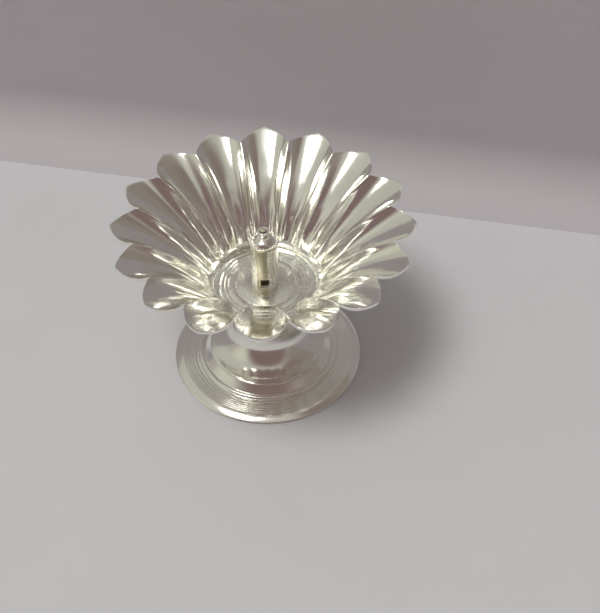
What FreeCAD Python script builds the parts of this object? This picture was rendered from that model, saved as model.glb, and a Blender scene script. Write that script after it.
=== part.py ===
import FreeCAD, Part
import math
import os

# A lotus oil lamp in silver-plated brass, in millimetres.
# The origin is the centre of the foot's underside, +Z is up and one petal points along -Y.
# A sheet bowl of sixteen petals is bolted to a turned hollow pedestal. The bolt's head is the
# spigot that the wick holder stands on, and the wick holder lifts straight up off it.

# Petal bowl, as seen from above: each petal ends in two arcs that meet in a point
petal_count = 16
tip_radius = 40.0
notch_radius = 33.7
edge_turn = math.radians(59)
sheet = 0.8

# Each petal is hollowed like half a trumpet. The trumpet's slanted axis crosses the floor's
# height at one radius, and its bore is straight at first and then widens along an arc.
trumpet_radius = 10.33
trumpet_angle = math.radians(52.1)
trumpet_bore = 2.94
trumpet_straight = 5.75
trumpet_flare = 72.4
trumpet_start = 1.35
trumpet_turn = math.radians(28.5)

# The crests of the folds between the petals, which rise above the floor and then lean outward
crest_middle_radius = 22.6
crest_middle_rise = 14.6
crest_end_radius = 34.9
crest_end_rise = 23.0
crest_lower_turn = math.radians(40)
crest_upper_turn = math.radians(16)

# Turned cup in the middle of the bowl
floor_radius = 14.2
floor_height = 28.0
floor_thickness = 0.9
ring_height = 2.0
ring_wall = 2.2
ring_corner = 1.1
flute_ledge = 0.3
flute_root = 0.8

# Pedestal
wall = 0.8
foot_radius = 26.8
foot_lip = 1.0
foot_land = 1.4
foot_bevel = 0.3
flange_height = 1.6
bead_radius = 19.1
bead_size = 0.7
ridge_radius = 16.1
ridge_height = 4.5
ridge_size = 0.3
step_width = 1.1
step_height = 0.4
neck_radius = 8.0
neck_height = 14.5
collar_radius = 12.0
collar_height = 1.4
collar_bevel = 0.4

# Spigot bolt, washer and nut
bolt_radius = 1.5
bolt_clearance = 0.15
bolt_end = 1.2
bolt_bevel = 0.3
spigot_height = 2.0
spigot_bevel = 0.4
washer_radius = 3.5
washer_thickness = 0.5
nut_across_flats = 5.5
nut_sides = 6
nut_height = 2.4
nut_clearance = 0.05
nut_bevel = 0.35

# Wick holder
tube_radius = 3.65
tube_wall = 0.6
tube_height = 15.8
spigot_clearance = 0.08
port_count = 2
port_width = 2.4
port_height = 3.0
port_sill = 2.2
band_radius = 3.95
band_height = 0.6
band_bead_count = 24
band_bead_radius = 0.33
band_bead_rise = 0.3
band_bead_sides = 8
bead_crown_share = 0.5
cap_skirt = 1.4
cap_clearance = 0.05
cap_wall = 0.5
dome_radius = 3.25
dome_height = 1.5
dome_turn = math.radians(58)
nozzle_bore = 0.75
nozzle_neck_radius = 1.05
nozzle_lip_radius = 1.65
nozzle_lip = 0.35
nozzle_height = 2.2
nozzle_turn = math.radians(50)
nozzle_foot_radius = 1.5
nozzle_foot = 0.4
nozzle_tail = 0.9
nozzle_clearance = 0.05

# How far every cutting solid runs past what it cuts
overrun = 1.0

# Numbers of short straight cuts that follow the curves of the turned outlines
trumpet_cut_count = 6
crest_cut_count = 4
bead_cut_count = 4
trunk_cut_count = 6
inside_cut_count = 3
cap_cut_count = 3

# Heights and radii that several pieces share
bowl_underside = floor_height - floor_thickness
plate_underside = bowl_underside - wall
ring_top = floor_height + ring_height
crest_middle_height = floor_height + crest_middle_rise
crest_end_height = floor_height + crest_end_rise
tube_bore = tube_radius - tube_wall
tube_top = floor_height + tube_height
band_top = tube_top + band_height
dome_top = band_top + dome_height
nut_top = plate_underside - washer_thickness
nut_underside = nut_top - nut_height
half_petal = math.pi / petal_count

UP = FreeCAD.Vector(0, 0, 1)
ACROSS = FreeCAD.Vector(0, 1, 0)
ORIGIN = FreeCAD.Vector(0, 0, 0)


def along_arc(start, end, turn, cuts):
    """Points on the arc from start to end, both given as (across, up), without the start.

    The arc turns by the given angle in all: clockwise where the angle is above zero.
    """
    chord = math.hypot(end[0] - start[0], end[1] - start[1])
    heading = math.atan2(end[1] - start[1], end[0] - start[0]) + turn / 2
    points = []
    for index in range(1, cuts + 1):
        part = turn * index / cuts
        reach = chord * math.sin(part / 2) / math.sin(turn / 2)
        points.append((start[0] + reach * math.cos(heading - part / 2),
                       start[1] + reach * math.sin(heading - part / 2)))
    return points


def turned(*corners):
    """Solid turned about the Z axis from corners (radius, height).

    A corner that also has an angle and a count is reached along an arc of that angle and those cuts.
    """
    outline = []
    for corner in corners:
        if len(corner) > 2:
            outline += along_arc(outline[-1], corner[:2], corner[2], corner[3])
        else:
            outline.append(corner)
    points = [FreeCAD.Vector(radius, 0, height) for radius, height in outline]
    return Part.Face(Part.makePolygon(points + points[:1])).revolve(ORIGIN, UP, 360)


def cylinder(radius, low, high):
    return Part.makeCylinder(radius, high - low, FreeCAD.Vector(0, 0, low))


def around(shape, count):
    """Copies of a shape, spread evenly about the lamp's axis."""
    copies = []
    for index in range(count):
        copy = shape.copy()
        copy.rotate(ORIGIN, UP, 360 * index / count)
        copies.append(copy)
    return copies


def regular_polygon(sides, radius, centre_x, height):
    """A level regular polygon with its first corner towards +X."""
    corners = []
    for index in range(sides + 1):
        angle = 2 * math.pi * index / sides
        x = centre_x + radius * math.cos(angle)
        corners.append(FreeCAD.Vector(x, radius * math.sin(angle), height))
    return Part.makePolygon(corners)


def trumpet(growth):
    """A petal's hollow as a turned solid, grown evenly outward, on its slanted axis over +X."""
    bore = trumpet_bore + growth
    flare = trumpet_flare - growth
    mouth_radius = bore + flare * (1 - math.cos(trumpet_turn))
    mouth_height = trumpet_straight + flare * math.sin(trumpet_turn)
    solid = turned((0, trumpet_start), (bore, trumpet_start), (bore, trumpet_straight),
                   (mouth_radius, mouth_height, trumpet_turn, trumpet_cut_count), (0, mouth_height))
    solid.rotate(ORIGIN, UP, 180)
    solid.rotate(ORIGIN, ACROSS, 90 - math.degrees(trumpet_angle))
    solid.translate(FreeCAD.Vector(trumpet_radius, 0, floor_height))
    return solid


def petal_outline():
    """One petal's share of the bowl seen from above, as a solid that is taller than the bowl."""
    notch_x = notch_radius * math.cos(half_petal)
    notch_y = notch_radius * math.sin(half_petal)
    middle = along_arc((tip_radius, 0), (notch_x, notch_y), -edge_turn, 2)[0]
    tip = FreeCAD.Vector(tip_radius, 0, 0)
    left = FreeCAD.Vector(notch_x, notch_y, 0)
    right = FreeCAD.Vector(notch_x, -notch_y, 0)
    edges = [Part.LineSegment(ORIGIN, right).toShape(),
             Part.Arc(right, FreeCAD.Vector(middle[0], -middle[1], 0), tip).toShape(),
             Part.Arc(tip, FreeCAD.Vector(middle[0], middle[1], 0), left).toShape(),
             Part.LineSegment(left, ORIGIN).toShape()]
    return Part.Face(Part.Wire(edges)).extrude(FreeCAD.Vector(0, 0, crest_end_height + overrun))


def below_crests():
    """The space below and outside the crests of the folds."""
    start_radius = floor_radius + flute_ledge
    start_height = ring_top - flute_root
    far = tip_radius + overrun
    return turned((start_radius, start_height), (start_radius, ring_top),
                  (crest_middle_radius, crest_middle_height, crest_lower_turn, crest_cut_count),
                  (crest_end_radius, crest_end_height, crest_upper_turn, crest_cut_count),
                  (far, crest_end_height), (far, start_height))


def petals():
    """All the petals as one sheet: one petal is cut from its trumpets and repeated round the axis."""
    petal = trumpet(sheet).cut(trumpet(0)).common(petal_outline()).common(below_crests())
    copies = around(petal, petal_count)
    return copies[0].multiFuse(copies[1:]).removeSplitter()


def petal_bowl():
    """The petals on their turned cup, whose flat floor has a hole for the bolt."""
    cup_radius = floor_radius + ring_wall
    cup = turned((0, bowl_underside), (cup_radius - ring_corner, bowl_underside),
                 (cup_radius, bowl_underside + ring_corner), (cup_radius, ring_top),
                 (floor_radius, ring_top), (floor_radius, floor_height), (0, floor_height))
    bowl = cup.fuse(petals()).removeSplitter()
    bolt_hole = cylinder(bolt_radius + bolt_clearance, bowl_underside - overrun, floor_height + overrun)
    return bowl.cut(bolt_hole)


def turn_to_neck(radius, height):
    """Angle of the arc from a point to the neck, or from the neck to it, that is upright at the neck."""
    return 2 * abs(math.atan2(abs(neck_radius - radius), abs(neck_height - height)))


def pedestal():
    """The turned foot: a flange with a bead and a thin ridge, a trunk, and a collar with a top plate."""
    half_turn = math.radians(180)
    step_radius = ridge_radius - step_width
    step_top = ridge_height + step_height
    collar_low = bowl_underside - collar_height
    hole = bolt_radius + bolt_clearance
    trunk_turn = turn_to_neck(step_radius, step_top)
    collar_turn = turn_to_neck(collar_radius, collar_low)
    outside = [
        (foot_radius - foot_bevel, 0), (foot_radius, foot_bevel), (foot_radius, foot_lip - foot_bevel),
        (foot_radius - foot_bevel, foot_lip), (bead_radius + bead_size, flange_height),
        (bead_radius - bead_size, flange_height + bead_size, -half_turn, bead_cut_count),
        (ridge_radius + ridge_size, ridge_height - ridge_size), (ridge_radius + ridge_size, ridge_height),
        (ridge_radius - ridge_size, ridge_height + ridge_size), (step_radius, step_top),
        (neck_radius, neck_height, trunk_turn, trunk_cut_count),
        (collar_radius, collar_low, collar_turn, trunk_cut_count),
        (collar_radius, bowl_underside - collar_bevel), (collar_radius - collar_bevel, bowl_underside)]
    inside = [
        (hole, bowl_underside), (hole, plate_underside),
        (collar_radius - wall - collar_bevel, plate_underside), (collar_radius - wall, collar_low),
        (neck_radius - wall, neck_height, -collar_turn, inside_cut_count),
        (step_radius - wall, step_top - wall, -trunk_turn, inside_cut_count),
        (ridge_radius - wall, ridge_height - wall), (bead_radius - bead_size, flange_height),
        (foot_radius - foot_land, foot_lip - wall), (foot_radius - foot_land, 0)]
    return turned(*outside, *inside)


def spigot_bolt():
    """A round-headed bolt down through the bowl and the pedestal; the wick holder stands round its head."""
    head_radius = tube_bore - spigot_clearance
    spigot_top = floor_height + spigot_height
    end = nut_underside - bolt_end
    return turned((0, end), (bolt_radius - bolt_bevel, end), (bolt_radius, end + bolt_bevel),
                  (bolt_radius, floor_height), (head_radius, floor_height),
                  (head_radius, spigot_top - spigot_bevel), (head_radius - spigot_bevel, spigot_top),
                  (0, spigot_top))


def washer():
    hole = bolt_radius + bolt_clearance
    return turned((hole, nut_top), (washer_radius, nut_top), (washer_radius, plate_underside),
                  (hole, plate_underside))


def nut():
    """A hexagon nut with bevelled corners."""
    corner_radius = nut_across_flats / 2 / math.cos(math.pi / nut_sides)
    outline = regular_polygon(nut_sides, corner_radius, 0, nut_underside)
    hexagon = Part.Face(outline).extrude(FreeCAD.Vector(0, 0, nut_height))
    bevelled = turned((0, nut_underside), (corner_radius - nut_bevel, nut_underside),
                      (corner_radius, nut_underside + nut_bevel), (corner_radius, nut_top), (0, nut_top))
    hole = cylinder(bolt_radius + nut_clearance, nut_underside - overrun, nut_top + overrun)
    return hexagon.common(bevelled).cut(hole)


def wick_tube():
    """The holder's tube, which stands on the bowl's floor; oil runs in through its side ports."""
    tube = turned((tube_bore, floor_height), (tube_radius, floor_height), (tube_radius, tube_top),
                  (tube_bore, tube_top))
    sill = floor_height + port_sill
    port = Part.makeBox(port_width, tube_radius + overrun, port_height,
                        FreeCAD.Vector(-port_width / 2, 0, sill))
    return tube.cut(Part.makeCompound(around(port, port_count)))


def beaded_band():
    """The band on the tube's top edge, with a ring of beads."""
    band = turned((tube_bore, tube_top), (band_radius, tube_top), (band_radius, band_top),
                  (tube_bore, band_top))
    centre = band_radius - band_bead_radius
    crown_radius = band_bead_radius * bead_crown_share
    base = regular_polygon(band_bead_sides, band_bead_radius, centre, band_top - band_bead_radius)
    girdle = regular_polygon(band_bead_sides, band_bead_radius, centre, band_top)
    crown = regular_polygon(band_bead_sides, crown_radius, centre, band_top + band_bead_rise)
    bead = Part.makeLoft([base, girdle, crown], True, True)
    return band.multiFuse(around(bead, band_bead_count))


def wick_cap():
    """The thin dome that rests on the band, with a skirt in the tube and a hole for the nozzle."""
    outer = tube_bore - cap_clearance
    inner = outer - cap_wall
    hole = nozzle_neck_radius + nozzle_clearance
    skirt_end = band_top - cap_skirt
    return turned((inner, skirt_end), (outer, skirt_end), (outer, band_top), (dome_radius, band_top),
                  (hole, dome_top, -dome_turn, cap_cut_count), (hole, dome_top - cap_wall),
                  (inner, band_top, dome_turn, cap_cut_count))


def wick_nozzle():
    """The small turned nozzle on the dome; the wick comes up through its bore."""
    foot_height = dome_top + nozzle_foot
    top = dome_top + nozzle_height
    return turned((nozzle_bore, dome_top - nozzle_tail), (nozzle_neck_radius, dome_top - nozzle_tail),
                  (nozzle_neck_radius, dome_top), (nozzle_foot_radius, dome_top),
                  (nozzle_foot_radius, foot_height), (nozzle_neck_radius, foot_height),
                  (nozzle_lip_radius, top - nozzle_lip, nozzle_turn, cap_cut_count),
                  (nozzle_lip_radius, top), (nozzle_bore, top))


parts = {
    "petal_bowl": petal_bowl,
    "pedestal": pedestal,
    "spigot_bolt": spigot_bolt,
    "washer": washer,
    "nut": nut,
    "wick_tube": wick_tube,
    "beaded_band": beaded_band,
    "wick_cap": wick_cap,
    "wick_nozzle": wick_nozzle,
}

if __name__ == "__main__":
    os.makedirs("parts", exist_ok=True)
    for name, make in parts.items():
        shape = make()
        shape.exportStep("parts/" + name + ".step")
        print(name, shape.isValid(), len(shape.Solids), round(shape.Volume, 2), len(shape.Faces))
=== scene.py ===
import math

import bpy
from bpy.props import FloatProperty, FloatVectorProperty, IntProperty, PointerProperty
from mathutils import Matrix, Vector, noise


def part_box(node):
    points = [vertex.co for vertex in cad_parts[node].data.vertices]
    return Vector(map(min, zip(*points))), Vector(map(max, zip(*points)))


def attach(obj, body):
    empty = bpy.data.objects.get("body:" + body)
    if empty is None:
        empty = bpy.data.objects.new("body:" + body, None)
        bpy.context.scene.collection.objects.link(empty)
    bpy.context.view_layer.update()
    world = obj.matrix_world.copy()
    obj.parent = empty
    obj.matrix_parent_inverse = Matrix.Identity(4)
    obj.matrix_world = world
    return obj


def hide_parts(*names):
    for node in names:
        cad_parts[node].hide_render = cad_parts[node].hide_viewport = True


bl_info = {
    "name": "Lotus Oil Lamp",
    "version": (1, 0, 0),
    "blender": (4, 5, 0),
    "location": "View3D > Sidebar > Lamp",
    "description": "Dresses a silver-plated lotus oil lamp and sets it on a table",
    "category": "Object",
}

# The lamp stands on its foot at the origin, +Z up, with one petal towards the viewer along -Y.
# Everything is in metres, and mm turns a size in millimetres into metres.
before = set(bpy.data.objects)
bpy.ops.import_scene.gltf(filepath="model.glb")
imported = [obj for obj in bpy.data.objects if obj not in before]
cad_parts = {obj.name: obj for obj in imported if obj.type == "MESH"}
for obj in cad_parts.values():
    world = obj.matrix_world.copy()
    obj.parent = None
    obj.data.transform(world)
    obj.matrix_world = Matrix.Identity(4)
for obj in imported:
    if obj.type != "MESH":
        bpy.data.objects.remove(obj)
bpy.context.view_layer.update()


def mm(size):
    return size * 0.001


bowl_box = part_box("petal_bowl")
foot_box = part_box("pedestal")
tube_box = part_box("wick_tube")
band_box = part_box("beaded_band")
cap_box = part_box("wick_cap")
nozzle_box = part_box("wick_nozzle")


# Properties that a user would change


def length(name, description, default):
    return FloatProperty(name=name, description=description, default=default, unit="LENGTH", precision=5)


def angle(name, description, degrees):
    return FloatProperty(name=name, description=description, default=math.radians(degrees), unit="ROTATION")


def share(name, description, default):
    return FloatProperty(name=name, description=description, default=default, subtype="FACTOR", min=0, max=1)


def colour(name, description, default):
    return FloatVectorProperty(name=name, description=description, default=default, size=3, subtype="COLOR",
                               min=0, max=1)


class PetalSizes(bpy.types.PropertyGroup):
    """The fluted sheet: every petal is hollowed like half a trumpet on a slanted axis."""

    count: IntProperty(name="Petals", description="Number of petals round the bowl", default=16, min=3)
    tip_radius: length("Tip radius", "Axis to a petal's tip", bowl_box[1].x)
    notch_radius: length("Notch radius", "Axis to the notch between two petals", mm(33.7))
    edge_turn: angle("Edge turn", "Angle of each of the two arcs that end a petal", 59)
    sheet: length("Sheet", "Thickness of the petals", mm(0.8))
    edge_round: length("Edge round", "Rounding along the petals' edge", mm(0.16))
    fold_round_low: length("Lower fold round", "Radius of a fold's crest beside the cup", mm(0.5))
    fold_round_high: length("Upper fold round", "Radius of a fold's crest at the notch", mm(0.28))
    trumpet_radius: length("Trumpet radius", "Where the slanted axis meets the floor's level", mm(10.33))
    trumpet_angle: angle("Trumpet angle", "Slope of the slanted axis", 52.1)
    bore: length("Bore", "Radius of the trumpet's straight part", mm(2.94))
    straight: length("Straight", "Length of the straight part", mm(5.75))
    flare: length("Flare", "Radius of the arc along which the trumpet widens", mm(72.4))
    crease_depth: length("Crease depth", "Depth of the creases in the gathered sheet near the cup", mm(0.5))
    crease_width: length("Crease width", "Width of those creases", mm(1.5))
    crease_length: length("Crease length", "Length of those creases", mm(7))
    crease_reach: length("Crease reach", "Axis to where the creases have died away", mm(33))
    flatness: share("Flatness", "How far a petal's hollow is pressed flat, as a share of its depth", 0.13)
    crest_middle_radius: length("Crest middle radius", "Crest of a fold half way up", mm(22.6))
    crest_middle_height: length("Crest middle height", "Crest of a fold half way up", mm(42.6))
    crest_end_radius: length("Crest end radius", "Crest of a fold past the notch", mm(34.9))
    crest_end_height: length("Crest end height", "Crest of a fold past the notch", mm(51))
    crest_lower_turn: angle("Lower crest turn", "Angle of the crest's lower arc", 40)
    crest_upper_turn: angle("Upper crest turn", "Angle of the crest's upper arc", 16)


class CupSizes(bpy.types.PropertyGroup):
    """The turned cup in the middle of the bowl."""

    floor_radius: length("Floor radius", "Radius of the flat floor", mm(14.2))
    floor_height: length("Floor height", "Level of the flat floor", tube_box[0].z)
    ring_height: length("Ring height", "Height of the ring round the floor", mm(2))
    ring_wall: length("Ring wall", "Thickness of the ring", mm(2.2))
    ledge: length("Ledge", "Flat top of the ring inside the folds", mm(0.3))
    hole_radius: length("Hole radius", "Hole for the bolt", mm(1.65))
    groove_width: length("Groove width", "Half the width of a turned groove", mm(0.14))
    groove_depth: length("Groove depth", "Depth of a turned groove", mm(0.06))


class FootSizes(bpy.types.PropertyGroup):
    """The turned pedestal."""

    radius: length("Foot radius", "Radius of the foot's rim", foot_box[1].x)
    wall: length("Wall", "Thickness of the trunk", mm(0.8))
    rim_height: length("Rim height", "Height of the foot's rim", mm(1.0))
    land: length("Land", "Width of the ring that the lamp stands on", mm(1.4))
    flange_height: length("Flange height", "Height of the flange beside the bead", mm(1.6))
    bead_radius: length("Bead radius", "Axis to the bead", mm(19.1))
    bead_size: length("Bead size", "Radius of the bead's section", mm(0.7))
    ridge_radius: length("Ridge radius", "Axis to the thin ridge", mm(16.1))
    ridge_height: length("Ridge height", "Level of the thin ridge", mm(4.5))
    ridge_size: length("Ridge size", "Half the width of the thin ridge", mm(0.3))
    step_width: length("Step width", "Ridge to the start of the trunk", mm(1.1))
    step_height: length("Step height", "Rise from the ridge to the trunk", mm(0.4))
    neck_radius: length("Neck radius", "Narrowest radius of the trunk", mm(8.0))
    neck_height: length("Neck height", "Level of the narrowest place", mm(14.5))
    collar_radius: length("Collar radius", "Radius under the bowl", mm(12.0))
    collar_height: length("Collar height", "Height of the straight collar", mm(1.4))


class HolderSizes(bpy.types.PropertyGroup):
    """The wick holder that lifts off its spigot."""

    tube_wall: length("Tube wall", "Thickness of the tube", mm(0.6))
    port_width: length("Port width", "Width of the oil port", mm(2.4))
    port_height: length("Port height", "Height of the oil port", mm(3.0))
    port_sill: length("Port sill", "Floor to the foot of the port", mm(2.2))
    band_height: length("Band height", "Height of the band without its beads", mm(0.6))
    bead_count: IntProperty(name="Beads", description="Number of beads on the band", default=24, min=3)
    bead_radius: length("Bead radius", "Radius of a bead", mm(0.36))
    dome_turn: angle("Dome turn", "Angle of the dome's arc", 58)
    cap_wall: length("Cap wall", "Thickness of the cap", mm(0.5))
    skirt_radius: length("Skirt radius", "Radius of the cap's skirt inside the tube", mm(3))
    nozzle_bore: length("Nozzle bore", "Radius of the wick's bore", mm(0.75))
    nozzle_neck: length("Nozzle neck", "Outer radius of the nozzle's neck", mm(1.05))
    nozzle_lip: length("Nozzle lip", "Height of the nozzle's lip", mm(0.35))
    nozzle_foot_radius: length("Nozzle foot radius", "Radius of the disc under the nozzle", mm(1.5))
    nozzle_foot: length("Nozzle foot", "Height of the disc under the nozzle", mm(0.4))
    nozzle_tail: length("Nozzle tail", "How far the nozzle reaches into the cap", mm(0.9))
    nozzle_turn: angle("Nozzle turn", "Angle of the arc of the nozzle's flare", 50)


class Finishes(bpy.types.PropertyGroup):
    """Colours of the metals and of the stage."""

    silver: colour("Silver", "Clean silver plate", (0.935, 0.933, 0.883))
    warm_silver: colour("Warm silver", "Silver plate that has begun to tarnish", (0.87, 0.853, 0.765))
    # Also the colour of the painted shade under the beads and of the painted reflection down the wick tube.
    tarnish: colour("Tarnish", "Tarnish in grooves and specks", (0.40, 0.365, 0.24))
    zinc: colour("Zinc", "Bright zinc plate of the nut and the washer", (0.66, 0.67, 0.68))
    table: colour("Table", "The table that the lamp stands on", (0.665, 0.67, 0.705))
    backdrop: colour("Backdrop", "The plain backdrop", (0.54, 0.52, 0.555))
    roughness: share("Roughness", "Roughness of the polished plate", 0.13)


class ViewSizes(bpy.types.PropertyGroup):
    """Where the camera stands."""

    elevation: angle("Elevation", "Angle of the camera above the table", 47.43)
    roll: angle("Roll", "How far the camera is tilted sideways", -0.56)
    distance: length("Distance", "Camera to the point that it aims at", 0.35)
    focal_length: FloatProperty(name="Focal length", description="Lens, in millimetres", default=70.77)
    shift_right: length("Shift right", "Lamp's foot to the right of the picture's middle", mm(-9.27))
    shift_up: length("Shift up", "Lamp's foot above the picture's middle", mm(-12.77))


# Shared modelling steps


def deselect_all():
    bpy.ops.object.select_all(action="DESELECT")


def named(name):
    piece = bpy.context.object
    piece.name = name
    piece.data.name = name
    return piece


def make_active(piece):
    deselect_all()
    piece.select_set(True)
    bpy.context.view_layer.objects.active = piece


def clean_up(piece, smooth_angle=math.radians(40)):
    """Merges doubles, turns the faces outward, sets the origin and shades the piece."""
    make_active(piece)
    bpy.ops.object.mode_set(mode="EDIT")
    bpy.ops.mesh.select_all(action="SELECT")
    bpy.ops.mesh.remove_doubles(threshold=mm(0.002))
    bpy.ops.mesh.normals_make_consistent(inside=False)
    bpy.ops.object.mode_set(mode="OBJECT")
    bpy.ops.object.transform_apply(location=True, rotation=True, scale=True)
    bpy.ops.object.shade_smooth_by_angle(angle=smooth_angle)
    return piece


def join(pieces):
    deselect_all()
    for piece in pieces:
        piece.select_set(True)
    bpy.context.view_layer.objects.active = pieces[0]
    bpy.ops.object.join()
    return pieces[0]


def repeated(piece, count):
    """The piece and its copies, each with its own mesh, spread evenly round the axis."""
    pieces = [piece]
    for index in range(1, count):
        make_active(piece)
        bpy.ops.object.duplicate()
        bpy.ops.transform.rotate(value=math.tau * index / count, orient_axis="Z", center_override=(0, 0, 0))
        bpy.ops.object.transform_apply(location=True, rotation=True, scale=True)
        pieces.append(bpy.context.object)
    return pieces


def arc_point(start, end, turn, part):
    """Point on the arc from start to end that turns clockwise by turn; part 0 is start and 1 is end."""
    across = end[0] - start[0]
    rise = end[1] - start[1]
    reach = math.hypot(across, rise) * math.sin(turn * part / 2) / math.sin(turn / 2)
    heading = math.atan2(rise, across) + turn / 2 - turn * part / 2
    return start[0] + reach * math.cos(heading), start[1] + reach * math.sin(heading)


def arc(start, end, turn, cuts):
    return [arc_point(start, end, turn, index / cuts) for index in range(1, cuts + 1)]


def rounded(outline, cuts=4):
    """A closed outline of (radius, height) or (radius, height, rounding) with its corners rounded."""
    points = []
    for index, corner in enumerate(outline):
        here = Vector(corner[:2])
        if len(corner) < 3:
            points.append(here)
            continue
        before = Vector(outline[index - 1][:2]) - here
        after = Vector(outline[(index + 1) % len(outline)][:2]) - here
        opening = before.angle(after)
        reach = corner[2] / math.tan(opening / 2)
        reach = min(reach, before.length * 0.48, after.length * 0.48)
        start = here + before.normalized() * reach
        end = here + after.normalized() * reach
        for step in range(cuts + 1):
            part = step / cuts
            points.append(start * (1 - part) ** 2 + here * (2 * part * (1 - part)) + end * part ** 2)
    return points


def turn_on_lathe(name, outline, steps=160):
    """Draws a closed outline with one point that is extruded along it, and spins it about the axis."""
    deselect_all()
    first = outline[0]
    bpy.ops.mesh.primitive_plane_add(size=mm(1), location=(first[0], 0, first[1]))
    piece = named(name)
    bpy.ops.object.transform_apply(location=True, rotation=True, scale=True)
    bpy.ops.object.mode_set(mode="EDIT")
    bpy.ops.mesh.select_mode(type="VERT")
    bpy.ops.mesh.select_all(action="SELECT")
    bpy.ops.mesh.merge(type="CENTER")
    here = first
    for point in list(outline[1:]) + [first]:
        move = (point[0] - here[0], 0, point[1] - here[1])
        bpy.ops.mesh.extrude_vertices_move(TRANSFORM_OT_translate={"value": move})
        here = point
    bpy.ops.mesh.select_all(action="SELECT")
    bpy.ops.mesh.remove_doubles(threshold=mm(0.002))
    bpy.ops.mesh.select_all(action="SELECT")
    bpy.ops.mesh.spin(steps=steps, angle=math.tau, center=(0, 0, 0), axis=(0, 0, 1), use_auto_merge=True)
    bpy.ops.object.mode_set(mode="OBJECT")
    return clean_up(piece)


# The petals


class Flute:
    """Places a point on one petal's sheet from its station along the slanted axis and its column."""

    def __init__(self, sizes, cup):
        self.sizes = sizes
        self.half = math.pi / sizes.count
        self.cos = math.cos(sizes.trumpet_angle)
        self.sin = math.sin(sizes.trumpet_angle)
        self.lean = math.tan(self.half) * self.sin
        self.floor = cup.floor_height
        self.crest_start = (cup.floor_radius + cup.ledge, cup.floor_height + cup.ring_height)
        self.crest_middle = (sizes.crest_middle_radius, sizes.crest_middle_height)
        self.crest_end = (sizes.crest_end_radius, sizes.crest_end_height)
        self.notch_station = mm(31.4)
        self.tip = Vector((sizes.tip_radius, 0))
        self.notch = sizes.notch_radius * Vector((math.cos(self.half), math.sin(self.half)))
        chord = self.notch - self.tip
        half_turn = sizes.edge_turn / 2
        self.edge_radius = chord.length / 2 / math.sin(half_turn)
        inward = Vector((chord.y, -chord.x)).normalized()
        if inward.x > 0:
            inward = -inward
        self.edge_centre = (self.tip + self.notch) / 2 + inward * self.edge_radius * math.cos(half_turn)

    def hollow(self, station):
        """Radius of the trumpet's hollow at a station."""
        past = max(0.0, station - self.sizes.straight)
        return self.sizes.bore + self.sizes.flare - math.sqrt(self.sizes.flare ** 2 - past ** 2)

    def place(self, station, across, rise):
        """Point from its station, its distance across the petal and its rise above the slanted axis."""
        return Vector((self.sizes.trumpet_radius + station * self.cos - rise * self.sin, across,
                       self.floor + station * self.sin + rise * self.cos))

    def on_crest(self, part):
        """Crest point (station, across, rise): part 0 to 1 is the lower arc, and the upper arc follows."""
        start, middle, end = self.crest_start, self.crest_middle, self.crest_end
        if part < 1:
            radius, height = arc_point(start, middle, self.sizes.crest_lower_turn, part)
        else:
            radius, height = arc_point(middle, end, self.sizes.crest_upper_turn, part - 1)
        outward = radius * math.cos(self.half) - self.sizes.trumpet_radius
        upward = height - self.floor
        return (outward * self.cos + upward * self.sin, radius * math.sin(self.half),
                upward * self.cos - outward * self.sin)

    def crest(self, station):
        low, high = -0.5, 3.0
        for _ in range(40):
            middle = (low + high) / 2
            if self.on_crest(middle)[0] < station:
                low = middle
            else:
                high = middle
        return self.on_crest(middle)[1:]

    def section(self, station):
        """A petal's section across the axis: the hollow's arc and the round crest of the fold beside it."""
        bottom = -self.hollow(station)
        crest = Vector(self.crest(station))
        up = Vector((-self.lean, 1)).normalized()
        part = min(max(station / self.notch_station, 0), 1)
        fold = self.sizes.fold_round_low * (1 - part) + self.sizes.fold_round_high * part
        fold_centre = crest - up * fold
        depth = fold_centre.y - bottom
        hollow = (fold_centre.x ** 2 + depth ** 2 - fold ** 2) / 2 / (depth + fold)
        return hollow, Vector((0, bottom + hollow)), fold, fold_centre, up

    def pressed_flat(self, part, depth):
        """How far the hollow lies below a true arc: nothing at the keel and at the fold, most between."""
        largest = 4 / 27
        return self.sizes.flatness * depth * part ** 2 * (1 - part) / largest

    def inside(self, station, column, hollow_columns, fold_columns):
        """The sheet's inner side: the hollow's arc, and then the round top of the fold."""
        hollow, centre, fold, fold_centre, up = self.section(station)
        apart = fold_centre - centre
        if column <= hollow_columns:
            part = column / hollow_columns
            swing = math.atan2(apart.x, -apart.y) * part
            sag = self.pressed_flat(part, hollow + apart.y)
            return self.place(station, hollow * math.sin(swing), centre.y - hollow * math.cos(swing) - sag)
        first = math.atan2(-apart.y, -apart.x)
        last = math.atan2(up.y, up.x)
        swing = first + (last - first) * (column - hollow_columns) / fold_columns
        return self.place(station, fold_centre.x + fold * math.cos(swing),
                          fold_centre.y + fold * math.sin(swing))

    def outside(self, station, column, hollow_columns, fold_columns):
        """The sheet's outer side: one arc that ends in the crease between two petals."""
        hollow, centre, _, fold_centre, _ = self.section(station)
        outer = hollow + self.sizes.sheet
        lean = self.lean
        reach = (self.sizes.trumpet_radius + station * self.cos) * math.tan(self.half) - lean * centre.y
        spare = max(0.0, (1 + lean ** 2) * outer ** 2 - reach ** 2)
        rise = (reach * lean - math.sqrt(spare)) / (1 + lean ** 2)
        crease = math.atan2(reach - lean * rise, -rise)
        part = column / (hollow_columns + fold_columns)
        swing = crease * part
        sag = self.pressed_flat(part, hollow + fold_centre.y - centre.y)
        return self.place(station, outer * math.sin(swing), centre.y - outer * math.cos(swing) - sag)

    def rim_station(self, side, column, *columns):
        """Station at which a column of one side reaches the petal's edge as seen from above."""
        low, high = mm(20), mm(40)
        for _ in range(40):
            middle = (low + high) / 2
            if (side(middle, column, *columns).xy - self.edge_centre).length < self.edge_radius:
                low = middle
            else:
                high = middle
        return middle


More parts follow.
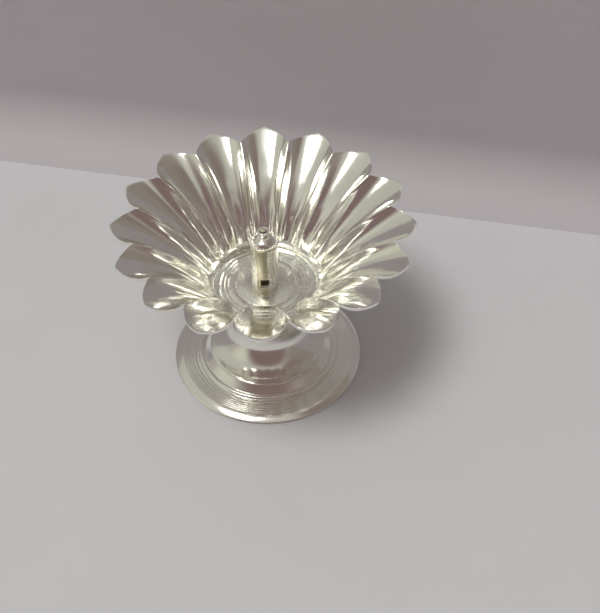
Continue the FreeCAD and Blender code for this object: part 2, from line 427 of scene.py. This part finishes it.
def petal_rows(flute, columns, inner_rows, outer_rows, start):
    """Rows of points up the inside of half a petal, over its rounded edge and down the outside."""
    hollow_columns, fold_columns = columns
    round_size = flute.sizes.edge_round
    by_column = []
    for column in range(hollow_columns + fold_columns + 1):
        inner_end = flute.rim_station(flute.inside, column, *columns)
        outer_end = flute.rim_station(flute.outside, column, *columns)
        inner = [flute.inside(start + (inner_end - start) * row / inner_rows, column, *columns)
                 for row in range(inner_rows + 1)]
        outer = [flute.outside(start + (outer_end - start) * row / outer_rows, column, *columns)
                 for row in range(outer_rows + 1)]
        top, bottom = inner[-1], outer[-1]
        down = (bottom - top).normalized() * round_size
        inner_back = (inner[-2] - top).normalized() * round_size
        outer_back = (outer[-2] - bottom).normalized() * round_size
        edge = [top + inner_back, top + (inner_back + down) * 0.3, top + down,
                bottom - down, bottom + (outer_back - down) * 0.3, bottom + outer_back]
        by_column.append(inner[:-1] + edge + outer[-2::-1] + inner[:1])
    return [[points[row] for points in by_column] for row in range(len(by_column[0]))]


def make_half_petal(flute, columns, inner_rows, outer_rows, start):
    """A grid with one corner per place on the sheet, laid over half a petal that points along +X."""
    rows = petal_rows(flute, columns, inner_rows, outer_rows, start)
    deselect_all()
    bpy.ops.mesh.primitive_grid_add(x_subdivisions=len(rows[0]) - 1, y_subdivisions=len(rows) - 1, size=1)
    petal = named("petals")
    places = [point for row in rows for point in row]
    for vertex, place in zip(petal.data.vertices, places, strict=True):
        vertex.co = place
    return petal


def crease(bowl, sizes):
    """Gathers the sheet near the cup into uneven creases, which run up the petals and die away."""
    first_radius = mm(15)
    onset = mm(1.5)
    full_radius = mm(17)
    measured_radius = mm(19)
    finer = 2.1
    elsewhere = Vector((9, 4, 2))
    slope = sizes.trumpet_angle
    for vertex in bowl.data.vertices:
        radius = vertex.co.xy.length
        outward = vertex.co.xy.normalized().to_3d()
        start = min(max((radius - first_radius) / onset, 0), 1)
        fade = min(max((sizes.crease_reach - radius) / (sizes.crease_reach - full_radius), 0), 1)
        place = outward * measured_radius / sizes.crease_width
        place.z = radius / sizes.crease_length
        swell = noise.noise(place) + 0.5 * noise.noise(place * finer + elsewhere)
        deeper_at_the_back = 0.8 + 0.35 * outward.y
        push = sizes.crease_depth * deeper_at_the_back * swell * start * fade ** 2
        vertex.co += (Vector((0, 0, 1)) * math.cos(slope) - outward * math.sin(slope)) * push


class LAMP_OT_petals(bpy.types.Operator):
    """Model half a petal, mirror it and repeat it round the bowl"""

    bl_idname = "lamp.petals"
    bl_label = "Petals"

    def execute(self, context):
        sizes = context.scene.petal_sizes
        flute = Flute(sizes, context.scene.cup_sizes)
        petal = make_half_petal(flute, columns=(13, 6), inner_rows=42, outer_rows=30, start=mm(3.9))
        bpy.ops.object.modifier_add(type="MIRROR")
        mirror = petal.modifiers[-1]
        mirror.use_axis = (False, True, False)
        mirror.merge_threshold = mm(0.002)
        bpy.ops.object.modifier_apply(modifier=mirror.name)
        bowl = join(repeated(petal, sizes.count))
        crease(bowl, sizes)
        clean_up(bowl, math.radians(50))
        bowl.data.materials.clear()
        bowl.data.materials.append(pressed_silver(context))
        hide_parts("petal_bowl")
        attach(bowl, "lamp")
        return {"FINISHED"}


class LAMP_OT_cup(bpy.types.Operator):
    """Turn the cup with its grooved floor in the middle of the bowl"""

    bl_idname = "lamp.cup"
    bl_label = "Cup"

    def execute(self, context):
        sizes = context.scene.cup_sizes
        underside = bowl_box[0].z
        outer = sizes.floor_radius + sizes.ring_wall
        ring_top = sizes.floor_height + sizes.ring_height
        corner = mm(1.1)
        outline = [(sizes.hole_radius, underside), (outer - corner, underside, mm(0.4)),
                   (outer, underside + corner, mm(0.4)), (outer, ring_top, mm(0.25)),
                   (sizes.floor_radius, ring_top, mm(0.3)),
                   (sizes.floor_radius, sizes.floor_height, mm(0.35))]
        for groove in (mm(12.6), mm(11.3), mm(10.3), mm(8.2)):
            outline += [(groove + sizes.groove_width, sizes.floor_height),
                        (groove, sizes.floor_height - sizes.groove_depth),
                        (groove - sizes.groove_width, sizes.floor_height)]
        outline.append((sizes.hole_radius, sizes.floor_height))
        cup = turn_on_lathe("cup", rounded(outline))
        cup.data.materials.append(worn_silver(context))
        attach(cup, "lamp")
        return {"FINISHED"}


# The foot


class LAMP_OT_pedestal(bpy.types.Operator):
    """Turn the hollow pedestal with its bead, ridge, trunk and collar"""

    bl_idname = "lamp.pedestal"
    bl_label = "Pedestal"

    def execute(self, context):
        s = context.scene.foot_sizes
        top = foot_box[1].z
        bevel = mm(0.3)
        corner = mm(0.4)
        rim_top = (s.radius - mm(0.05), mm(0.45))
        flange_out = (mm(24.4), s.flange_height)
        rim_turn = math.radians(22)
        flange_in = (s.bead_radius + s.bead_size, s.flange_height)
        step = (s.ridge_radius - s.step_width, s.ridge_height + s.step_height)
        neck = (s.neck_radius, s.neck_height)
        collar = (s.collar_radius, top - s.collar_height)
        trunk_turn = self.turn_upright(step, neck)
        collar_turn = self.turn_upright(collar, neck)
        outline = [(s.radius - bevel, 0, mm(0.2)), (s.radius, bevel, mm(0.1)), rim_top]
        outline += arc(rim_top, flange_out, -rim_turn, 10)
        for line in (mm(24.1), mm(23.5), mm(22.9), mm(22.3), mm(21.6), mm(20.7)):
            outline += self.groove(line, flange_out, flange_in)
        outline.append(flange_in)
        bead_end = (s.bead_radius - s.bead_size, s.flange_height + s.bead_size)
        outline += arc(flange_in, bead_end, -math.pi, 14)
        outline += [(s.ridge_radius + s.ridge_size, s.ridge_height - s.ridge_size, mm(0.1)),
                    (s.ridge_radius + s.ridge_size, s.ridge_height, mm(0.14)),
                    (s.ridge_radius - s.ridge_size, s.ridge_height + s.ridge_size, mm(0.14)), step]
        outline += arc(step, neck, trunk_turn, 22)
        outline += arc(neck, collar, collar_turn, 14)
        outline += [(s.collar_radius, top - corner, mm(0.2)), (s.collar_radius - corner, top, mm(0.2))]
        hole = context.scene.cup_sizes.hole_radius
        outline += [(hole, top), (hole, top - s.wall), (s.collar_radius - s.wall - corner, top - s.wall)]
        inner_collar = (s.collar_radius - s.wall, top - s.collar_height)
        inner_neck = (s.neck_radius - s.wall, s.neck_height)
        inner_step = (step[0] - s.wall, step[1] - s.wall)
        outline.append(inner_collar)
        outline += arc(inner_collar, inner_neck, -collar_turn, 10)
        outline += arc(inner_neck, inner_step, -trunk_turn, 14)
        outline += [(s.ridge_radius - s.wall, s.ridge_height - s.wall, mm(0.3)),
                    (s.bead_radius - s.bead_size, s.flange_height, mm(0.4)),
                    (s.radius - s.land, s.rim_height - s.wall, mm(0.1)), (s.radius - s.land, 0, mm(0.15))]
        pedestal = turn_on_lathe("turned_foot", rounded(outline))
        pedestal.data.materials.append(turned_silver(context))
        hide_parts("pedestal")
        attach(pedestal, "lamp")
        return {"FINISHED"}

    def turn_upright(self, low, neck):
        """Angle of the arc between a point and the neck that is upright at the neck."""
        return 2 * math.atan2(abs(low[0] - neck[0]), abs(low[1] - neck[1]))

    def groove(self, radius, outer, inner):
        """Three points of a fine turned line at a radius on the flange's slope."""
        half_width = mm(0.12)
        depth = mm(0.06)
        points = []
        for offset, drop in ((half_width, 0), (0, depth), (-half_width, 0)):
            part = (radius + offset - outer[0]) / (inner[0] - outer[0])
            points.append((radius + offset, outer[1] + (inner[1] - outer[1]) * part - drop))
        return points


# The wick holder


class LAMP_OT_wick_tube(bpy.types.Operator):
    """Turn the tube and cut its oil ports"""

    bl_idname = "lamp.wick_tube"
    bl_label = "Wick tube"

    def execute(self, context):
        sizes = context.scene.holder_sizes
        low, high = tube_box
        outer = high.x
        bore = outer - sizes.tube_wall
        outline = [(bore, low.z, mm(0.1)), (outer, low.z, mm(0.12)), (outer, high.z), (bore, high.z)]
        tube = turn_on_lathe("wick_holder_tube", rounded(outline), 96)
        deselect_all()
        middle = low.z + sizes.port_sill + sizes.port_height / 2
        bpy.ops.mesh.primitive_cube_add(size=1, location=(0, 0, middle),
                                        scale=(sizes.port_width, outer * 3, sizes.port_height))
        cutter = named("port_cutter")
        bpy.ops.object.transform_apply(location=True, rotation=True, scale=True)
        bpy.ops.object.mode_set(mode="EDIT")
        bpy.ops.mesh.select_all(action="SELECT")
        bpy.ops.mesh.bevel(offset=mm(0.35), segments=4)
        bpy.ops.object.mode_set(mode="OBJECT")
        make_active(tube)
        bpy.ops.object.modifier_add(type="BOOLEAN")
        cut = tube.modifiers[-1]
        cut.operation = "DIFFERENCE"
        cut.object = cutter
        bpy.ops.object.modifier_apply(modifier=cut.name)
        make_active(cutter)
        bpy.ops.object.delete()
        clean_up(tube, math.radians(30))
        tube.data.materials.clear()
        tube.data.materials.append(oiled_silver(context))
        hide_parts("wick_tube")
        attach(tube, "wick_holder")
        return {"FINISHED"}


class LAMP_OT_beaded_band(bpy.types.Operator):
    """Turn the band on the tube's top and set a ring of beads on it"""

    bl_idname = "lamp.beaded_band"
    bl_label = "Beaded band"

    def execute(self, context):
        sizes = context.scene.holder_sizes
        outer = band_box[1].x
        low = band_box[0].z
        top = low + sizes.band_height
        bore = tube_box[1].x - sizes.tube_wall
        outline = [(bore, low), (outer, low, mm(0.25)), (outer, top, mm(0.25)), (bore, top)]
        band = turn_on_lathe("bead_ring", rounded(outline), 96)
        deselect_all()
        bpy.ops.mesh.primitive_uv_sphere_add(segments=14, ring_count=10, radius=sizes.bead_radius,
                                             location=(outer - sizes.bead_radius, 0, top))
        bead = named("bead")
        bpy.ops.transform.resize(value=(1, 1, 0.8))
        bpy.ops.object.transform_apply(location=True, rotation=True, scale=True)
        band = clean_up(join([band, *repeated(bead, sizes.bead_count)]), math.radians(60))
        band.data.materials.append(beaded_silver(context))
        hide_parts("beaded_band")
        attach(band, "wick_holder")
        return {"FINISHED"}


class LAMP_OT_wick_cap(bpy.types.Operator):
    """Turn the thin dome that closes the tube"""

    bl_idname = "lamp.wick_cap"
    bl_label = "Wick cap"

    def execute(self, context):
        sizes = context.scene.holder_sizes
        low, high = cap_box
        edge = band_box[0].z + sizes.band_height
        hole = sizes.nozzle_neck + mm(0.05)
        inner = sizes.skirt_radius - sizes.cap_wall
        outline = [(inner, low.z), (sizes.skirt_radius, low.z), (sizes.skirt_radius, edge), (high.x, edge)]
        outline += arc((high.x, edge), (hole, high.z), -sizes.dome_turn, 16)
        outline.append((hole, high.z - sizes.cap_wall))
        outline += arc((hole, high.z - sizes.cap_wall), (inner, edge), sizes.dome_turn, 10)
        cap = turn_on_lathe("dome", rounded(outline), 96)
        cap.data.materials.append(pressed_silver(context))
        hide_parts("wick_cap")
        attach(cap, "wick_holder")
        return {"FINISHED"}


class LAMP_OT_wick_nozzle(bpy.types.Operator):
    """Turn the flared nozzle that the wick comes up through"""

    bl_idname = "lamp.wick_nozzle"
    bl_label = "Wick nozzle"

    def execute(self, context):
        s = context.scene.holder_sizes
        low, high = nozzle_box
        lip = high.x
        throat_radius = s.nozzle_bore + mm(0.35)
        throat_depth = mm(0.6)
        seat = low.z + s.nozzle_tail
        foot_top = seat + s.nozzle_foot
        flare_start = (s.nozzle_neck, foot_top)
        flare_end = (lip, high.z - s.nozzle_lip)
        outline = [(s.nozzle_bore, low.z), (s.nozzle_neck, low.z), (s.nozzle_neck, seat),
                   (s.nozzle_foot_radius, seat, mm(0.1)), (s.nozzle_foot_radius, foot_top, mm(0.15)),
                   flare_start]
        outline += arc(flare_start, flare_end, s.nozzle_turn, 8)
        outline += [(lip, high.z, mm(0.15)), (throat_radius, high.z, mm(0.1)),
                    (s.nozzle_bore, high.z - throat_depth)]
        nozzle = turn_on_lathe("nozzle", rounded(outline), 64)
        nozzle.data.materials.append(turned_silver(context))
        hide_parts("wick_nozzle")
        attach(nozzle, "wick_holder")
        return {"FINISHED"}


class LAMP_OT_fasteners(bpy.types.Operator):
    """Give the bolt, the washer and the nut their plating"""

    bl_idname = "lamp.fasteners"
    bl_label = "Fasteners"

    def execute(self, context):
        for name, finish in (("spigot_bolt", turned_silver), ("washer", zinc_plate), ("nut", zinc_plate)):
            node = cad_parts[name]
            node.data.materials.clear()
            node.data.materials.append(finish(context))
        return {"FINISHED"}


# Materials


class Wire:
    """A socket that takes part in plain arithmetic: each operation adds a Math node."""

    def __init__(self, recipe, socket):
        self.recipe = recipe
        self.socket = socket

    def maths(self, operation, first, second):
        return self.recipe.node("ShaderNodeMath", {"operation": operation}, {0: first, 1: second})

    def __add__(self, other):
        return self.maths("ADD", self, other)

    def __radd__(self, other):
        return self.maths("ADD", other, self)

    def __sub__(self, other):
        return self.maths("SUBTRACT", self, other)

    def __rsub__(self, other):
        return self.maths("SUBTRACT", other, self)

    def __mul__(self, other):
        return self.maths("MULTIPLY", self, other)

    def __rmul__(self, other):
        return self.maths("MULTIPLY", other, self)

    def __pow__(self, other):
        return self.maths("POWER", self, other)


class Recipe:
    """A material or a world that is put together node by node."""

    def __init__(self, owner):
        owner.use_nodes = True
        self.owner = owner
        self.tree = owner.node_tree
        self.tree.nodes.clear()

    def node(self, kind, settings=None, inputs=None, output=0):
        made = self.tree.nodes.new(kind)
        for name, value in (settings or {}).items():
            setattr(made, name, value)
        for name, value in (inputs or {}).items():
            if isinstance(value, Wire):
                self.tree.links.new(value.socket, made.inputs[name])
            else:
                made.inputs[name].default_value = value
        return Wire(self, made.outputs[output]) if made.outputs else None

    def axes(self):
        """The piece's own coordinates, and their three parts."""
        place = self.node("ShaderNodeTexCoord", output="Object")
        split = self.node("ShaderNodeSeparateXYZ", inputs={0: place})
        outputs = split.socket.node.outputs
        return place, Wire(self, outputs["X"]), Wire(self, outputs["Y"]), Wire(self, outputs["Z"])

    def noise(self, place, size, detail=3.0, roughness=0.5):
        """Noise from 0 to 1 whose blotches are about size across."""
        return self.node("ShaderNodeTexNoise", inputs={"Vector": place, "Scale": 1 / size, "Detail": detail,
                                                       "Roughness": roughness})

    def between(self, value, low, high):
        """0 where value is below low, 1 where it is above high, and smooth between."""
        return self.node("ShaderNodeMapRange", {"interpolation_type": "SMOOTHSTEP"},
                         {"Value": value, "From Min": low, "From Max": high})

    def mix(self, mask, first, second):
        """A colour that goes from first to second with the mask."""
        return self.node("ShaderNodeMix", {"data_type": "RGBA"}, {0: mask, 6: first, 7: second}, 2)


def opaque(rgb):
    return (*rgb, 1.0)


def no_residue(recipe, radius, z):
    """Metal everywhere."""
    return 0.0


def plated(context, name, surface_height, grime_and_painted_light, wear=0.0, residue=no_residue):
    """Silver plate: surface_height, grime_and_painted_light and residue are made by functions of the recipe
    and coordinates; the mix towards the tarnish colour is real tarnish and oil on most parts, painted shade
    under the beads and a painted reflection down the wick tube.
    """
    if name in bpy.data.materials:
        return bpy.data.materials[name]
    finishes = context.scene.finishes
    recipe = Recipe(bpy.data.materials.new(name))
    place, x, y, z = recipe.axes()
    radius = (x * x + y * y) ** 0.5
    blotches = recipe.between(recipe.noise(place, mm(14), 4.0, 0.6), 0.42, 0.68)
    smudges = recipe.between(recipe.noise(place, mm(5), 5.0, 0.7), 0.45, 0.7)
    specks = recipe.between(recipe.noise(place, mm(0.9), 2.0, 0.5), 0.68, 0.76)
    clean = recipe.mix(blotches * 0.45, opaque(finishes.silver), opaque(finishes.warm_silver))
    # Real tarnish and oil, and also painted shade on the bead band and a painted reflection on the wick tube.
    stains_and_painted_light = recipe.mix(grime_and_painted_light(recipe, radius, z) + specks * 0.25, clean, opaque(finishes.tarnish))
    height = surface_height(recipe, place, radius, z)
    bump = recipe.node("ShaderNodeBump", inputs={"Strength": 1.0, "Distance": 1.0, "Height": height})
    roughness = finishes.roughness + wear + smudges * (0.07 + wear * 0.6) + specks * 0.15
    surface = recipe.node("ShaderNodeBsdfPrincipled", inputs={
        "Base Color": stains_and_painted_light, "Metallic": 1 - residue(recipe, radius, z), "Roughness": roughness,
        "Normal": bump})
    recipe.node("ShaderNodeOutputMaterial", inputs={"Surface": surface})
    return recipe.owner


def pressed_silver(context):
    """Plate on pressed sheet: soft dents and very fine polishing marks."""

    def surface_height(recipe, place, radius, z):
        depth = mm(0.02) + (1 - recipe.between(radius, mm(18), mm(26))) * mm(0.012)
        dents = recipe.noise(place, mm(3.6), 2.0, 0.45) * depth
        marks = recipe.noise(place, mm(0.6), 3.0, 0.6) * mm(0.0012)
        return dents + marks

    def grime_and_painted_light(recipe, radius, z):
        return (1 - recipe.between(radius, mm(14), mm(17))) * 0.06

    return plated(context, "pressed_silver_plate", surface_height, grime_and_painted_light)


def rings(recipe, radius, z, size):
    """Noise that is the same all the way round the axis, as a lathe's marks are."""
    place = recipe.node("ShaderNodeCombineXYZ", inputs={"X": radius, "Z": z})
    return recipe.noise(place, size, 3.0, 0.6)


def turned_silver(context):
    """Plate on turned brass: fine rings left by the lathe, and dark in the narrow grooves."""

    def surface_height(recipe, place, radius, z):
        tool_marks = rings(recipe, radius, z, mm(0.3)) * mm(0.004)
        waves = rings(recipe, radius, z, mm(1.4)) * mm(0.005)
        dents = recipe.noise(place, mm(6), 2.0, 0.4) * mm(0.03)
        return tool_marks + waves + dents

    def grime_and_painted_light(recipe, radius, z):
        return recipe.between(rings(recipe, radius, z, mm(0.5)), 0.6, 0.72) * 0.25

    return plated(context, "turned_silver_plate", surface_height, grime_and_painted_light)


def worn_silver(context):
    """Plate that oil and wicks have dulled: a patchy grey film, and brown round the post."""

    def surface_height(recipe, place, radius, z):
        tool_marks = rings(recipe, radius, z, mm(0.3)) * mm(0.006)
        waves = rings(recipe, radius, z, mm(1.6)) * mm(0.02)
        dents = recipe.noise(place, mm(4), 2.0, 0.5) * mm(0.02)
        return tool_marks + waves + dents

    def grime_and_painted_light(recipe, radius, z):
        patches = recipe.noise(recipe.axes()[0], mm(3.5), 4.0, 0.6)
        film = recipe.between(patches, 0.46, 0.7) * 0.22
        pool = (1 - recipe.between(radius + patches * mm(3), mm(5), mm(8))) * 0.3
        return recipe.between(rings(recipe, radius, z, mm(0.5)), 0.6, 0.72) * 0.15 + film + pool

    return plated(context, "worn_silver_plate", surface_height, grime_and_painted_light, wear=0.10)


def oiled_silver(context):
    """Worn plate with dried brown oil inside the tube; on its outside round the ports the same dark olive
    stripe is a painted reflection of the bowl's warm inside.
    """
    outside = tube_box[1].x
    inside = outside - context.scene.holder_sizes.tube_wall

    # Stripe mask across the tube's front and back: real oil inside the tube, painted reflection on the
    # outside.
    def oil_and_painted_reflection(recipe):
        place, x, _, _ = recipe.axes()
        streaks = recipe.node("ShaderNodeVectorMath", {"operation": "MULTIPLY"},
                              {0: place, 1: (1.0, 1.0, 0.15)})
        off_centre = ((x + mm(0.7)) ** 2) ** 0.5 + recipe.noise(streaks, mm(1.5), 3.0, 0.6) * mm(0.9)
        return 1 - recipe.between(off_centre, mm(1.7), mm(2.4))

    def surface_height(recipe, place, radius, z):
        return recipe.noise(place, mm(3), 2.0, 0.5) * mm(0.012)

    def grime_and_painted_light(recipe, radius, z):
        # Painted reflection on the outside and oil inside: the stripe is mixed towards the tarnish colour.
        return oil_and_painted_reflection(recipe) * 0.85 + 0.05

    def residue(recipe, radius, z):
        # Inside the bore the oil film is not metal; on the outside the painted reflection stripe is half
        # non-metal as well.
        return 1 - recipe.between(radius, inside, outside) * (1 - oil_and_painted_reflection(recipe) * 0.5)

    return plated(context, "oiled_silver_plate", surface_height, grime_and_painted_light, wear=0.10, residue=residue)


def beaded_silver(context):
    """Plate with painted shade: dark under the beads and low between them."""
    top = band_box[0].z + context.scene.holder_sizes.band_height

    def surface_height(recipe, place, radius, z):
        return recipe.noise(place, mm(0.8), 2.0, 0.5) * mm(0.004)

    def grime_and_painted_light(recipe, radius, z):
        # Painted shade: everything below the beads' middle is mixed strongly towards the tarnish colour.
        return (1 - recipe.between(z, top - mm(0.1), top + mm(0.05))) * 0.8

    return plated(context, "beaded_silver_plate", surface_height, grime_and_painted_light)


def zinc_plate(context):
    """Bright zinc with a faint mottle."""
    name = "bright_zinc_plate"
    if name in bpy.data.materials:
        return bpy.data.materials[name]
    recipe = Recipe(bpy.data.materials.new(name))
    place = recipe.axes()[0]
    mottle = recipe.between(recipe.noise(place, mm(1.2), 3.0, 0.6), 0.4, 0.6)
    zinc = context.scene.finishes.zinc
    colours = recipe.mix(mottle * 0.5, opaque(zinc), opaque([part * 0.8 for part in zinc]))
    surface = recipe.node("ShaderNodeBsdfPrincipled", inputs={
        "Base Color": colours, "Metallic": 1.0, "Roughness": 0.32 + mottle * 0.1})
    recipe.node("ShaderNodeOutputMaterial", inputs={"Surface": surface})
    return recipe.owner


def plain_surface(name, rgb, hollow=0.0):
    """A matt stage surface that isn't there from behind, nor under the hollow of a foot."""
    recipe = Recipe(bpy.data.materials.new(name))
    place, x, y, _ = recipe.axes()
    grain = recipe.between(recipe.noise(place, mm(30), 3.0, 0.5), 0.3, 0.7)
    colours = recipe.mix(grain * 0.25, opaque(rgb), opaque([part * 0.94 for part in rgb]))
    surface = recipe.node("ShaderNodeBsdfPrincipled", inputs={"Base Color": colours, "Roughness": 0.7})
    behind = recipe.node("ShaderNodeNewGeometry", output="Backfacing")
    solid = recipe.between((x * x + y * y) ** 0.5, hollow - mm(0.5), hollow) * (1 - behind)
    clear = recipe.node("ShaderNodeBsdfTransparent")
    either = recipe.node("ShaderNodeMixShader", inputs={0: solid, 1: clear, 2: surface})
    recipe.node("ShaderNodeOutputMaterial", inputs={"Surface": either})
    return recipe.owner


# The stage


class LAMP_OT_stage(bpy.types.Operator):
    """Set the table, the backdrop, the light of the room and the camera"""

    bl_idname = "lamp.stage"
    bl_label = "Stage"

    def execute(self, context):
        self.set_table(context)
        self.set_backdrop(context)
        self.set_lights(context)
        self.set_camera(context)
        context.scene.view_settings.view_transform = "Standard"
        return {"FINISHED"}

    def set_table(self, context):
        deselect_all()
        below_foot = mm(0.02)
        bpy.ops.mesh.primitive_plane_add(size=mm(8000), location=(0, 0, -below_foot))
        table = named("table")
        hollow = context.scene.foot_sizes.radius - mm(0.3)
        table.data.materials.append(plain_surface("table_top", context.scene.finishes.table, hollow))

    def set_backdrop(self, context):
        """A sweep that rises from the table behind the lamp, and is turned a little to the right."""
        deselect_all()
        bend = mm(18)
        wall_distance = mm(84)
        wall_height = mm(110)
        half_width = mm(2000)
        above_table = mm(0.05)
        turn = math.radians(-11.3)
        bpy.ops.mesh.primitive_plane_add(size=1, location=(0, 0, 0))
        backdrop = named("backdrop")
        bpy.ops.object.mode_set(mode="EDIT")
        bpy.ops.mesh.select_mode(type="VERT")
        bpy.ops.mesh.select_all(action="SELECT")
        bpy.ops.mesh.merge(type="CENTER")
        bpy.ops.transform.translate(value=(-half_width, wall_distance - bend, above_table))
        cuts = 12
        here = (0.0, 0.0)
        for index in range(1, cuts + 1):
            swing = math.pi / 2 * index / cuts
            there = (bend * math.sin(swing), bend * (1 - math.cos(swing)))
            move = (0, there[0] - here[0], there[1] - here[1])
            bpy.ops.mesh.extrude_vertices_move(TRANSFORM_OT_translate={"value": move})
            here = there
        bpy.ops.mesh.extrude_vertices_move(TRANSFORM_OT_translate={"value": (0, 0, wall_height)})
        bpy.ops.mesh.select_all(action="SELECT")
        bpy.ops.mesh.select_mode(type="EDGE")
        bpy.ops.mesh.select_all(action="SELECT")
        bpy.ops.mesh.extrude_region_move(TRANSFORM_OT_translate={"value": (half_width * 2, 0, 0)})
        bpy.ops.object.mode_set(mode="OBJECT")
        backdrop.rotation_euler.z = turn
        bpy.ops.object.transform_apply(location=True, rotation=True, scale=True)
        towards_viewer = Vector((0, -1, 0))
        if backdrop.data.polygons[-1].normal.dot(towards_viewer) < 0:
            backdrop.data.flip_normals()
        bpy.ops.object.shade_smooth()
        backdrop.data.materials.append(plain_surface("backdrop_paint", context.scene.finishes.backdrop))

    def set_lights(self, context):
        """A room with a bright light above, pale on the left, darker on the right and where the viewer is."""
        recipe = Recipe(context.scene.world or bpy.data.worlds.new("world"))
        context.scene.world = recipe.owner
        direction = recipe.node("ShaderNodeTexCoord", output="Generated")
        parts = recipe.node("ShaderNodeSeparateXYZ", inputs={0: direction}).socket.node.outputs
        away, height = Wire(recipe, parts["Y"]), Wire(recipe, parts["Z"])

        def patch(towards, inner, outer):
            near = recipe.node("ShaderNodeVectorMath", {"operation": "DOT_PRODUCT"},
                               {0: direction, 1: Vector(towards).normalized()}, output="Value")
            return recipe.between(near, math.cos(math.radians(outer)), math.cos(math.radians(inner)))

        room = recipe.mix(recipe.between(height, 0.15, 0.6), (0.38, 0.35, 0.32, 1), (0.47, 0.46, 0.41, 1))
        sheen = recipe.mix(patch((-0.90, -0.30, 0.36), 4, 30), room, (0.56, 0.55, 0.46, 1))
        right = recipe.mix(patch((1, 0.20, 0.55), 26, 56), sheen, (0.235, 0.205, 0.185, 1))
        shaded = recipe.mix(patch((0.55, -0.20, 0.82), 4, 22), right, (0.21, 0.165, 0.15, 1))
        viewer = (1 - recipe.between(away, -0.75, -0.35)) * (1 - recipe.between(height, 0.72, 0.88))
        front = recipe.mix(viewer, shaded, (0.195, 0.135, 0.135, 1))
        glow = recipe.mix(patch((-0.10, -0.19, 0.975), 4, 13), front, (0.86, 0.84, 0.79, 1))
        ceiling = recipe.mix(patch((-0.29, -0.20, 0.93), 6, 13), glow, (14.0, 13.8, 13.3, 1))
        background = recipe.node("ShaderNodeBackground", inputs={"Color": ceiling, "Strength": 1.0})
        recipe.node("ShaderNodeOutputWorld", inputs={"Surface": background})

    def set_camera(self, context):
        view = context.scene.view_sizes
        back = Vector((0, -math.cos(view.elevation), math.sin(view.elevation)))
        level_up = Vector((0, math.sin(view.elevation), math.cos(view.elevation)))
        level_right = Vector((1, 0, 0))
        right = level_right * math.cos(view.roll) + level_up * math.sin(view.roll)
        up = level_up * math.cos(view.roll) - level_right * math.sin(view.roll)
        aim = -view.shift_right * right - view.shift_up * up
        camera = bpy.data.objects.new("camera", bpy.data.cameras.new("camera"))
        context.scene.collection.objects.link(camera)
        turn = Matrix((right, up, back)).transposed().to_4x4()
        camera.matrix_world = Matrix.Translation(aim + back * view.distance) @ turn
        camera.data.lens = view.focal_length
        camera.data.clip_start = mm(10)
        context.scene.camera = camera


class LAMP_PT_panel(bpy.types.Panel):
    """The lamp's tools in the 3D view's sidebar"""

    bl_idname = "LAMP_PT_panel"
    bl_label = "Lotus Oil Lamp"
    bl_space_type = "VIEW_3D"
    bl_region_type = "UI"
    bl_category = "Lamp"

    def draw(self, context):
        for operator in OPERATORS:
            self.layout.operator(operator.bl_idname)
        for name in GROUPS:
            group = getattr(context.scene, name)
            box = self.layout.box()
            for key in group.__annotations__:
                box.prop(group, key)


GROUPS = {"petal_sizes": PetalSizes, "cup_sizes": CupSizes, "foot_sizes": FootSizes,
          "holder_sizes": HolderSizes, "finishes": Finishes, "view_sizes": ViewSizes}
OPERATORS = (LAMP_OT_petals, LAMP_OT_cup, LAMP_OT_pedestal, LAMP_OT_wick_tube, LAMP_OT_beaded_band,
             LAMP_OT_wick_cap, LAMP_OT_wick_nozzle, LAMP_OT_fasteners, LAMP_OT_stage)


def register():
    for made in (*GROUPS.values(), *OPERATORS, LAMP_PT_panel):
        bpy.utils.register_class(made)
    for name, group in GROUPS.items():
        setattr(bpy.types.Scene, name, PointerProperty(type=group))


def unregister():
    for name in GROUPS:
        delattr(bpy.types.Scene, name)
    for made in (LAMP_PT_panel, *reversed(OPERATORS), *GROUPS.values()):
        bpy.utils.unregister_class(made)


def main():
    register()
    for operator in OPERATORS:
        group, name = operator.bl_idname.split(".")
        getattr(getattr(bpy.ops, group), name)()


if __name__ == "__main__":
    main()
